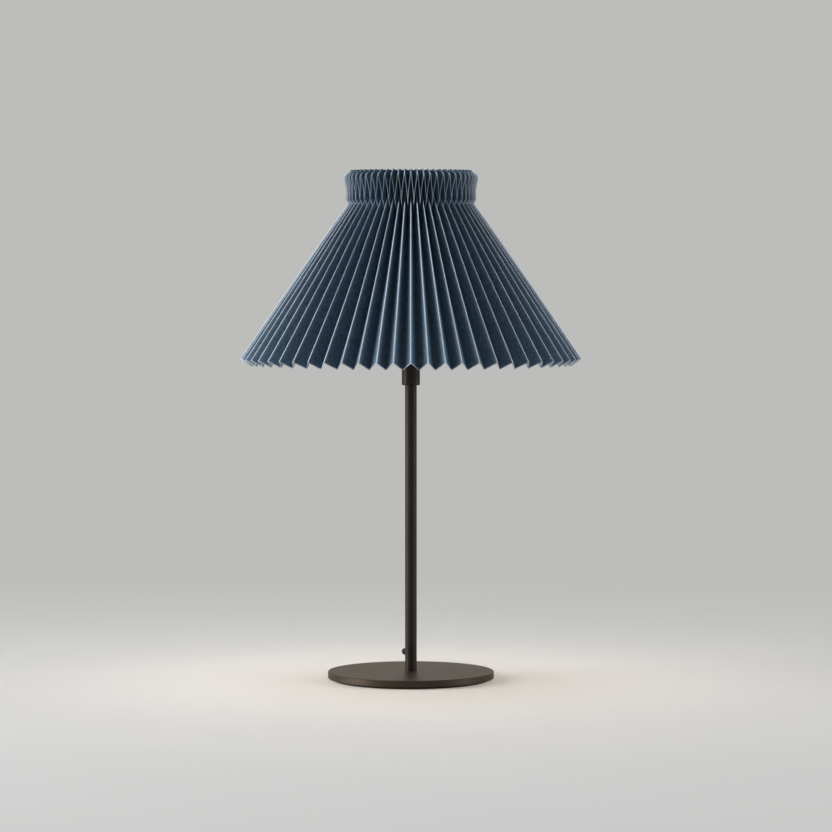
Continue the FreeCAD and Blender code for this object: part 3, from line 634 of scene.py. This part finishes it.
    def fold_angles(self, falling: np.ndarray, pleat: np.ndarray) -> list[np.ndarray]:
        """Work out where round the axis each column's ridge and valley stand.

        Each fold wanders a little, and then one at the angle a from the front is drawn to
        a - b sin(n a), so that the pleats bunch a little in n places.
        """
        chance = np.random.default_rng(self.seed)
        ridge_turn = chance.uniform(-self.waver, self.waver, self.pleat_count)
        valley_turn = chance.uniform(-self.waver, self.waver, self.pleat_count)
        step = 2.0 * math.pi / self.pleat_count
        ridge_number = pleat + ~falling
        ridge = ridge_number * step + ridge_turn[ridge_number % self.pleat_count]
        valley = (pleat + 0.5) * step + valley_turn[pleat]
        return [self.front + angle - self.bunching * np.sin(self.bunches * angle)
                for angle in (ridge, valley)]

    def shape(self) -> tuple[np.ndarray, dict[str, np.ndarray], np.ndarray]:
        """Work out the paper's outer face.

        A point at share t from a ridge to a valley lies on the straight line between them. Near
        each fold it is moved along the fold's own mirror plane by sqrt(t^2 + e^2) - t times the
        pleat's depth there, which turns the sharp fold into a hyperbola of rounding e.

        Returns:
            The places, the fold distances by name, and each column's place across the flat strip.
        """
        ridge, valley = self.fold_lines()
        knots, row = self.rows(ridge, valley)
        t, falling, pleat = self.columns()
        ridge_angle, valley_angle = self.fold_angles(falling, pleat)
        high = ring_points(soft_path(ridge, knots, row, self.cross_round), ridge_angle)
        low = ring_points(soft_path(valley, knots, row, self.cross_round), valley_angle)
        run = low - high
        places = high + run * t[None, :, None]
        places += blunting(t, self.ridge_round) * in_plane(run, ridge_angle)
        places -= blunting(1.0 - t, self.valley_round) * in_plane(run, valley_angle)
        across = np.append((2 * pleat + np.where(falling, t, 2.0 - t)) * self.pleat_width,
                           2 * self.pleat_count * self.pleat_width)
        return self.swollen(places), self.distances(ridge, valley, knots, row, t), across

    def distances(self, ridge: np.ndarray, valley: np.ndarray, knots: np.ndarray, row: np.ndarray,
                  t: np.ndarray) -> dict[str, np.ndarray]:
        """Work out each point's distances from the nearest outer fold, V-shaped fold and hem."""
        reversed_band = ((row > knots[1]) & (row < knots[2]))[:, None]
        from_fold = np.where(reversed_band, 1.0 - t, t) * self.pleat_width
        by_ridge, by_valley = (np.append(0.0, np.cumsum(run_lengths(line))) for line in (ridge, valley))
        along = (np.interp(row, knots, by_ridge)[:, None] * (1.0 - t)
                 + np.interp(row, knots, by_valley)[:, None] * t)
        crossing = by_ridge[2] * (1.0 - t) + by_valley[2] * t
        slope = (by_valley[2] - by_ridge[2]) / self.pleat_width
        from_cross = np.abs(along - crossing) / math.hypot(1.0, slope)
        return {"fold": from_fold, "cross": from_cross, "edge": along}

    def swollen(self, places: np.ndarray) -> np.ndarray:
        """Bow the collar outwards between its foot and its brow, and fill out the cone.

        A point at share s of the way up moves out by the swell times s^p (1 - s), divided by the
        largest value of that, which it has at s = p / (p + 1). A point of the cone at share c of
        the way down moves out by the fullness times 1 - (1 - c)^n and the bow times 4 c (1 - c).
        """
        radius, height = np.hypot(places[..., 0], places[..., 1]), places[..., 2]
        up = np.clip((height - self.foot[1]) / (self.brow[1] - self.foot[1]), 0.0, 1.0)
        down = np.clip((self.foot[1] - height) / (self.foot[1] - self.hem[1]), 0.0, 1.0)
        power = self.swell_power
        peak = power / (power + 1)
        outwards = self.swell * up ** power * (1.0 - up) / (peak ** power * (1.0 - peak))
        outwards += self.fullness * (1.0 - (1.0 - down) ** self.neck_power)
        outwards += self.bow * 4.0 * down * (1.0 - down)
        scale = 1.0 + outwards / radius
        return places * np.stack([scale, scale, np.ones_like(scale)], axis=-1)

    def seen(self, outer: np.ndarray, distances: dict[str, np.ndarray]) -> dict[str, np.ndarray]:
        """Work out the distances that the pale lines follow, from those along the paper.

        Where the pleats are pressed tight the pale line of a long fold, partly worn paper and partly
        painted highlight, is widened, so a distance d from it at the radius r counts as
        d (r / hem radius)^q below the collar.
        """
        # Painted highlight: the pale lines widen where tight pleats shade each other, so they stay
        # bright.
        tightness = (np.hypot(outer[..., 0], outer[..., 1]) / self.hem[0]) ** self.line_widening_power
        in_collar = outer[..., 2] > self.foot[1]
        return {**distances, "fold": distances["fold"] * np.where(in_collar, self.collar_line_scale, tightness)}

    def room(self, outer: np.ndarray, distances: dict[str, np.ndarray]) -> np.ndarray:
        """Work out how thick the paper can be at each point.

        At a distance d from an outer fold the two layers lie d times twice the sine of half the
        fold's angle apart, so that each gets a little under half of it, up to its full thickness.
        """
        half_pitch = np.hypot(outer[..., 0], outer[..., 1]) * math.sin(math.pi / self.pleat_count)
        beside_fold = self.layer_share * half_pitch / self.pleat_width * distances["fold"]
        beside_cross = self.layer_share * self.cross_sine * distances["cross"]
        return np.clip(np.minimum(beside_fold, beside_cross), self.least_paper, self.paper)

    def build(self) -> None:
        """Make the shade with its paper's thickness.

        The inner face is the outer one moved in by the paper's thickness along its normals, and
        the two are joined at the hem and at the top edge into one closed skin.
        """
        outer, distances, across = self.shape()
        inner = outer - self.room(outer, distances)[..., None] * normals_of(outer)
        rows, columns = outer.shape[:2]
        attributes = {name: np.concatenate([values, np.ones_like(values)])
                      for name, values in self.seen(outer, distances).items()}
        corner_rows, corner_columns = lattice(2 * rows, columns, wrap_rows=True)
        along = np.concatenate([distances["edge"], distances["edge"][::-1]])
        corner_map = np.stack([across[corner_columns], along[corner_rows, corner_columns % columns]],
                              axis=-1)
        is_outside = (corner_rows < rows).all(axis=1)
        face_material = np.where(is_outside, Skin.OUTSIDE.value, Skin.INSIDE.value)
        shade = surface("paper_shade", np.concatenate([outer, inner[::-1]]),
                        [material_of(PAPER), material_of(LINING)], True, face_material, corner_map,
                        attributes)
        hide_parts(*["shade_panel_%02d" % number for number in range(1, 13)])
        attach(shade, "shade")


def upwards(lean: float) -> np.ndarray:
    """Give the unit direction that leans out from the vertical, as (radius, height)."""
    return np.array([math.sin(lean), math.cos(lean)])


def sideways(lean: float) -> np.ndarray:
    """Give the unit direction square to it, leading outwards."""
    return np.array([math.cos(lean), -math.sin(lean)])


def meet(first: np.ndarray, first_lean: float, second: np.ndarray, second_lean: float) -> np.ndarray:
    """Find where two leaning lines cross.

    Each line is given by a point and its lean from the vertical. Solves first + a u = second + b v
    for the lengths a and b along the lines' unit directions u and v.
    """
    way, other = upwards(first_lean), upwards(second_lean)
    length = np.linalg.solve(np.stack([way, -other], axis=1), second - first)[0]
    return first + length * way


def run_lengths(line: np.ndarray) -> np.ndarray:
    """Give the length of each straight run of a line."""
    return np.linalg.norm(np.diff(line, axis=0), axis=1)


def blunting(share: np.ndarray, rounding: float) -> np.ndarray:
    """Give how far a fold's rounding moves points at a share of the pleat from it."""
    return (np.sqrt(share ** 2 + rounding ** 2) - share)[None, :, None]


def soft_path(line: np.ndarray, knots: np.ndarray, places: np.ndarray, softness: float) -> np.ndarray:
    """Follow a line of straight runs, with its corners slightly rounded.

    The line is its first point plus, at each corner, the change of slope there times the ramp
    max(x, 0), and the ramp is softened to (x + sqrt(x^2 + s^2)) / 2.

    Args:
        line: Corners as (radius, height).
        knots: Length along the strip at each corner.
        places: Lengths at which the line is wanted.
        softness: The ramp's softness s.

    Returns:
        Radius and height at each place.
    """
    slopes = np.diff(line, axis=0) / np.diff(knots)[:, None]
    result = line[0] + places[:, None] * slopes[0]
    for knot, change in zip(knots[1:-1], np.diff(slopes, axis=0)):
        offset = places - knot
        result = result + 0.5 * (offset + np.sqrt(offset ** 2 + softness ** 2))[:, None] * change
    return result


def ring_points(line: np.ndarray, angle: np.ndarray) -> np.ndarray:
    """Put each (radius, height) of a line at each angle round the Z axis."""
    radius, height = line[:, 0][:, None], line[:, 1][:, None]
    return np.stack([radius * np.cos(angle), radius * np.sin(angle), height + 0.0 * angle], axis=-1)


def in_plane(vectors: np.ndarray, angle: np.ndarray) -> np.ndarray:
    """Drop each vector's part that is square to the upright plane at its angle."""
    square = np.stack([-np.sin(angle), np.cos(angle), 0.0 * angle], axis=-1)[None]
    return vectors - (vectors * square).sum(axis=-1, keepdims=True) * square


def normals_of(points: np.ndarray) -> np.ndarray:
    """Work out the normals of a grid that closes round its columns.

    The normal is the unit cross product of the central difference along the columns and the
    difference along the rows.
    """
    around = np.roll(points, -1, axis=1) - np.roll(points, 1, axis=1)
    normal = np.cross(around, np.gradient(points, axis=0))
    return normal / np.linalg.norm(normal, axis=-1, keepdims=True)


# ---- metal and plastic ----


def dress(finish: Finish | OpalFinish, *nodes: str) -> None:
    """Give the named solids of the frame a finish, in each of their material slots."""
    material = material_of(finish)
    for name in nodes:
        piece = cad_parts[name]
        if not piece.material_slots:
            piece.data.materials.append(material)
        for socket in piece.material_slots:
            socket.material = material


@dataclass
class Stand:
    """Foot, stem, cord outlet and neck sleeve, which stay as the frame's solids."""

    coated: tuple[str, ...] = ("stem_tube", "neck_sleeve")
    plated: tuple[str, ...] = ("base_screw", "base_washer", "foot_plug", "sleeve_set_screw",
                               "threaded_nipple")

    def build(self) -> None:
        """Dress the stand."""
        dress(BRONZE, *self.coated)
        dress(PAINTED_LIGHT_FOOT_BRONZE, "base_disc")
        dress(ZINC, *self.plated)
        dress(RUBBER, "base_pad")
        dress(BLACK_PLASTIC, "cord_gland")
        dress(SHEATH, "inner_cable")
        dress(BROWN_CORE, "live_core")
        dress(BLUE_CORE, "neutral_core")


@dataclass
class Lampholder:
    """Lampholder with its threaded skirt and rolled screw shell. Lengths are in metres.

    Bore, flange and wall are the skirt's radii, the last at its thread's crest, and edge is the
    size of the small slopes that break its edges. A pitch is a thread's rise in a turn, the lip
    is the ledge at the shell's foot, rows run along a thread and sides round it.
    """

    bore: float = 17.0 * MM
    flange: float = 22.5 * MM
    wall: float = 19.5 * MM
    flange_thickness: float = 3.0 * MM
    edge: float = 0.6 * MM
    thread_pitch: float = 2.5 * MM
    thread_depth: float = 0.7 * MM
    thread_rows: int = 96
    thread_sides: int = 96
    shell_pitch: float = 3.63 * MM
    shell_depth: float = 0.2 * MM
    shell_wall: float = 0.4 * MM
    shell_lip: float = 1.6 * MM
    shell_rows: int = 70
    shell_sides: int = 72

    def build_skirt(self) -> None:
        """Make the flanged skirt with its outer thread."""
        low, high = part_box("lampholder_skirt")
        foot, top = low[2], high[2]
        ledge, edge, flange = foot + self.flange_thickness, self.edge, self.flange
        outline = outline_of(
            (self.bore, foot, 3), (flange - edge, foot, 2), (flange, foot + edge, 2),
            (flange, ledge - edge, 2), (flange - edge, ledge, 2),
            (self.wall, ledge, self.thread_rows), (self.wall, top - edge, 2),
            (self.wall - edge, top, 2), (self.bore, top, 6))
        radius, height = outline.T
        threaded = (np.abs(radius - self.wall) < NEAR) & (height > ledge)
        ripple = np.where(threaded, thread_share(height, ledge, top, self.thread_pitch), 0.0)
        places = turned(outline, self.thread_sides, ripple, self.thread_depth, self.thread_pitch)
        self.finish_piece("threaded_skirt", places, BAKELITE, "lampholder_skirt")

    def build_shell(self) -> None:
        """Make the rolled screw shell that takes the bulb."""
        low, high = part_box("screw_shell")
        radius, foot, top = high[0], low[2], high[2]
        inner, floor = radius - self.shell_wall, foot + self.shell_wall
        outline = outline_of(
            (inner - self.shell_lip, foot, 4), (radius, foot, self.shell_rows), (radius, top, 1),
            (inner, top, self.shell_rows), (inner, floor, 3), (inner - self.shell_lip, floor, 0))
        ripple = thread_share(outline[:, 1], floor, top, self.shell_pitch)
        places = turned(outline, self.shell_sides, ripple, self.shell_depth, self.shell_pitch)
        self.finish_piece("rolled_shell", places, BRASS, "screw_shell")

    def finish_piece(self, name: str, places: np.ndarray, finish: Finish, node: str) -> None:
        """Make a turned piece that stands for a node of the stand, hide the node and put the piece on the
        stand.
        """
        piece = surface(name, places, [material_of(finish)])
        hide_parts(node)
        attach(piece, "stand")

    def build(self) -> None:
        """Make and dress the lampholder."""
        self.build_skirt()
        self.build_shell()
        dress(BAKELITE, "lampholder_cap", "shade_ring_nut")
        dress(STEATITE, "terminal_block")
        dress(BRASS, "terminal_screws", "centre_contact")


@dataclass
class Carrier:
    """Dip-coated wire carrier of the shade."""

    nodes: tuple[str, ...] = ("carrier_hub", "carrier_arm_1", "carrier_arm_2", "carrier_arm_3",
                              "carrier_ring")

    def build(self) -> None:
        """Dress the carrier."""
        dress(WHITE_WIRE, *self.nodes)


@dataclass
class Bulb:
    """Screw-in bulb with a rolled thread on its cap. Lengths are in metres.

    Pitch, depth, rows and sides are those of the thread, and the hole is in the cap's middle.
    """

    pitch: float = 3.63 * MM
    depth: float = 0.7 * MM
    wall: float = 0.4 * MM
    hole: float = 0.5 * MM
    rows: int = 72
    sides: int = 72

    def build_cap(self) -> None:
        """Make the rolled screw cap."""
        low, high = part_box("bulb_screw_cap")
        radius, foot, top = high[0], low[2], high[2]
        inner, floor = radius - self.wall - self.depth, foot + self.wall
        outline = outline_of(
            (self.hole, foot, 4), (radius - self.depth, foot, 3), (radius, foot + self.depth, self.rows),
            (radius, top, 1), (inner, top, 12), (inner, floor, 3), (self.hole, floor, 0))
        threaded = outline[:, 0] > radius - NEAR
        ripple = np.where(threaded, thread_share(outline[:, 1], foot, top, self.pitch), 0.0)
        places = turned(outline, self.sides, ripple, self.depth, self.pitch)
        cap = surface("rolled_screw_cap", places, [material_of(CAP_METAL)])
        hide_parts("bulb_screw_cap")
        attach(cap, "bulb")

    def build(self) -> None:
        """Make and dress the bulb."""
        self.build_cap()
        dress(SOLDER, "bulb_tip_contact")
        dress(VITRITE, "bulb_insulator")
        dress(BULB_PLASTIC, "bulb_neck")
        dress(OPAL, "bulb_globe")


# ---- the studio ----


@dataclass(frozen=True)
class SoftBox:
    """A square studio light, with its place and side in metres and its power in watts."""

    name: str
    place: Axes
    size: float
    power: float


@dataclass
class Studio:
    """Pale floor, soft lights and the camera. Lengths are in metres, but the lens in millimetres.

    The camera sees light added to the floor: a painted pool of warm lamplight near the lamp,
    which goes over to the floor's own even lift further away. Beyond a distance from the fade's
    centre the floor gives way to the backdrop. The camera's pitch is its angle from straight down.
    """

    target: Axes = (0.0, 0.0, 0.3)
    floor_size: float = 3.0
    floor_hole: float = 1.0 * MM
    floor_start: float = 0.1
    floor_rings: int = 20
    floor_sides: int = 64
    floor_colour: Colour = (0.62, 0.62, 0.615)
    floor_clouds: float = 3.0
    floor_change: float = 0.01
    floor_roughness: float = 0.7
    floor_gloss: float = 0.2
    floor_drop: float = 0.2 * MM
    # Colour and radii of the painted pool of warm lamplight on the floor.
    painted_pool_light: Colour = (0.286, 0.248, 0.21)
    floor_lift: Colour = (0.124, 0.124, 0.122)
    painted_pool_start: float = 0.1
    painted_pool_stop: float = 0.45
    fade_centre: Axes = (0.0, -0.45, 0.0)
    fade_start: float = 0.3
    fade_stop: float = 1.8
    backdrop: Colour = (0.508, 0.508, 0.496)
    ambient: float = 0.07
    camera_place: Axes = (0.0052, -3.42, 0.422)
    camera_pitch: float = math.radians(90.0 - 2.538)
    lens: float = 145.0
    sensor: float = 36.0
    boxes: tuple[SoftBox, ...] = (
        SoftBox("left", (-3.9, -0.6, 1.2), 2.4, 216.0),
        SoftBox("right", (3.75, -0.75, 1.2), 2.1, 83.0),
        SoftBox("top", (-0.3, 0.4, 2.7), 2.0, 24.0),
    )

    def build_floor(self) -> None:
        """Make the floor, which is clear from below and where it has faded into the backdrop."""
        rings = np.linspace(self.floor_start, self.floor_size, self.floor_rings)
        line = np.array([(radius, -self.floor_drop) for radius in (*rings[::-1], self.floor_hole)])
        angle = np.linspace(0.0, 2.0 * math.pi, self.floor_sides, endpoint=False)
        board = NodeBoard(bpy.data.materials.new("floor"))
        place = board.place(Space.OBJECT)
        clouds = board.noise(place, self.floor_clouds, detail=2.0)
        board.finish({
            "Base Color": board.tones(clouds, self.floor_colour, 1.0 - self.floor_change,
                                      1.0 + self.floor_change),
            "Roughness": self.floor_roughness,
            "Specular IOR Level": self.floor_gloss,
        })
        links = {0: place, 1: self.fade_centre}
        distance = board.add("VectorMath", links, operation="DISTANCE").outputs["Value"]
        faded = board.spread(distance, 0.0, 1.0, self.fade_start, self.fade_stop)
        beneath = board.add("NewGeometry").outputs["Backfacing"]
        unseen = board.combine("MAXIMUM", faded, beneath)
        # Painted pool of warm lamplight on the floor near the lamp, added for the camera only.
        from_lamp = board.add("VectorMath", {0: place}, operation="LENGTH").outputs["Value"]
        painted_pool = board.spread(from_lamp, 0.0, 1.0, self.painted_pool_start, self.painted_pool_stop)
        glow = board.ramp(painted_pool, [(0.0, self.painted_pool_light), (1.0, self.floor_lift)])
        lift = board.add("Emission", {"Color": glow, "Strength": 1.0}).outputs[0]
        lifted = board.add("AddShader", {0: board.shader.outputs[0], 1: lift}).outputs[0]
        seen = board.add("LightPath").outputs["Is Camera Ray"]
        shown = board.add("MixShader", {0: seen, 1: board.shader.outputs[0], 2: lifted}).outputs[0]
        clear = board.add("BsdfTransparent").outputs[0]
        blend = board.add("MixShader", {0: unseen, 1: shown, 2: clear}).outputs[0]
        board.feed(board.output.inputs["Surface"], blend)
        floor = surface("floor", ring_points(line, angle), [board.owner], wrap_rows=False)

    def build_world(self) -> None:
        """Make the even grey surroundings, seen and mirrored in the backdrop's colour."""
        board = NodeBoard(bpy.data.worlds.new("studio"))
        shown = board.add("Background", {"Color": (*self.backdrop, 1.0)}).outputs[0]
        path = board.add("LightPath").outputs
        looked = board.combine("MAXIMUM", path["Is Camera Ray"], path["Is Glossy Ray"])
        links = {0: looked, 1: board.shader.outputs[0], 2: shown}
        board.feed(board.output.inputs["Surface"], board.add("MixShader", links).outputs[0])
        bpy.context.scene.world = board.finish({"Color": (1.0, 1.0, 1.0, 1.0),
                                                "Strength": self.ambient})

    def build_lights(self) -> None:
        """Hang the soft boxes, each turned towards the lamp."""
        for box in self.boxes:
            data = bpy.data.lights.new(box.name, "AREA")
            data.size = box.size
            data.energy = box.power
            light = bpy.data.objects.new(box.name, data)
            light.location = box.place
            aim = Vector(self.target) - Vector(box.place)
            light.rotation_euler = aim.to_track_quat("-Z", "Y").to_euler()
            light.visible_camera = False
            bpy.context.scene.collection.objects.link(light)

    def build_camera(self) -> None:
        """Stand the camera where the photograph was taken from."""
        data = bpy.data.cameras.new("camera")
        data.lens = self.lens
        data.sensor_width = self.sensor
        camera = bpy.data.objects.new("camera", data)
        camera.location = self.camera_place
        camera.rotation_euler = (self.camera_pitch, 0.0, 0.0)
        bpy.context.scene.collection.objects.link(camera)
        bpy.context.scene.camera = camera

    def build(self) -> None:
        """Set up the studio."""
        self.build_camera()
        self.build_floor()
        self.build_world()
        self.build_lights()
        bpy.context.scene.view_settings.view_transform = "Standard"


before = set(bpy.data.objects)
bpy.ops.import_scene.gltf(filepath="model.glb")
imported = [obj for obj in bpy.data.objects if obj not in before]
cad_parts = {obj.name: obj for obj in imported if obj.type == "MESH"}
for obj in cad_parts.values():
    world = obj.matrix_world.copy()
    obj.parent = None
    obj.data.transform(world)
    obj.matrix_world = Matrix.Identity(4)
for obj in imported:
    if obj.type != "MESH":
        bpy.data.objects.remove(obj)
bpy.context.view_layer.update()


def main() -> None:
    """Build the studio and each sub-assembly in order, and report each one."""
    logging.basicConfig(level=logging.INFO, format="%(name)s: %(message)s")
    for part in (Studio(), Stand(), Lampholder(), Carrier(), Bulb(), PaperShade()):
        part.build()
        LOG.info("built %s", type(part).__name__)


if __name__ == "__main__":
    main()
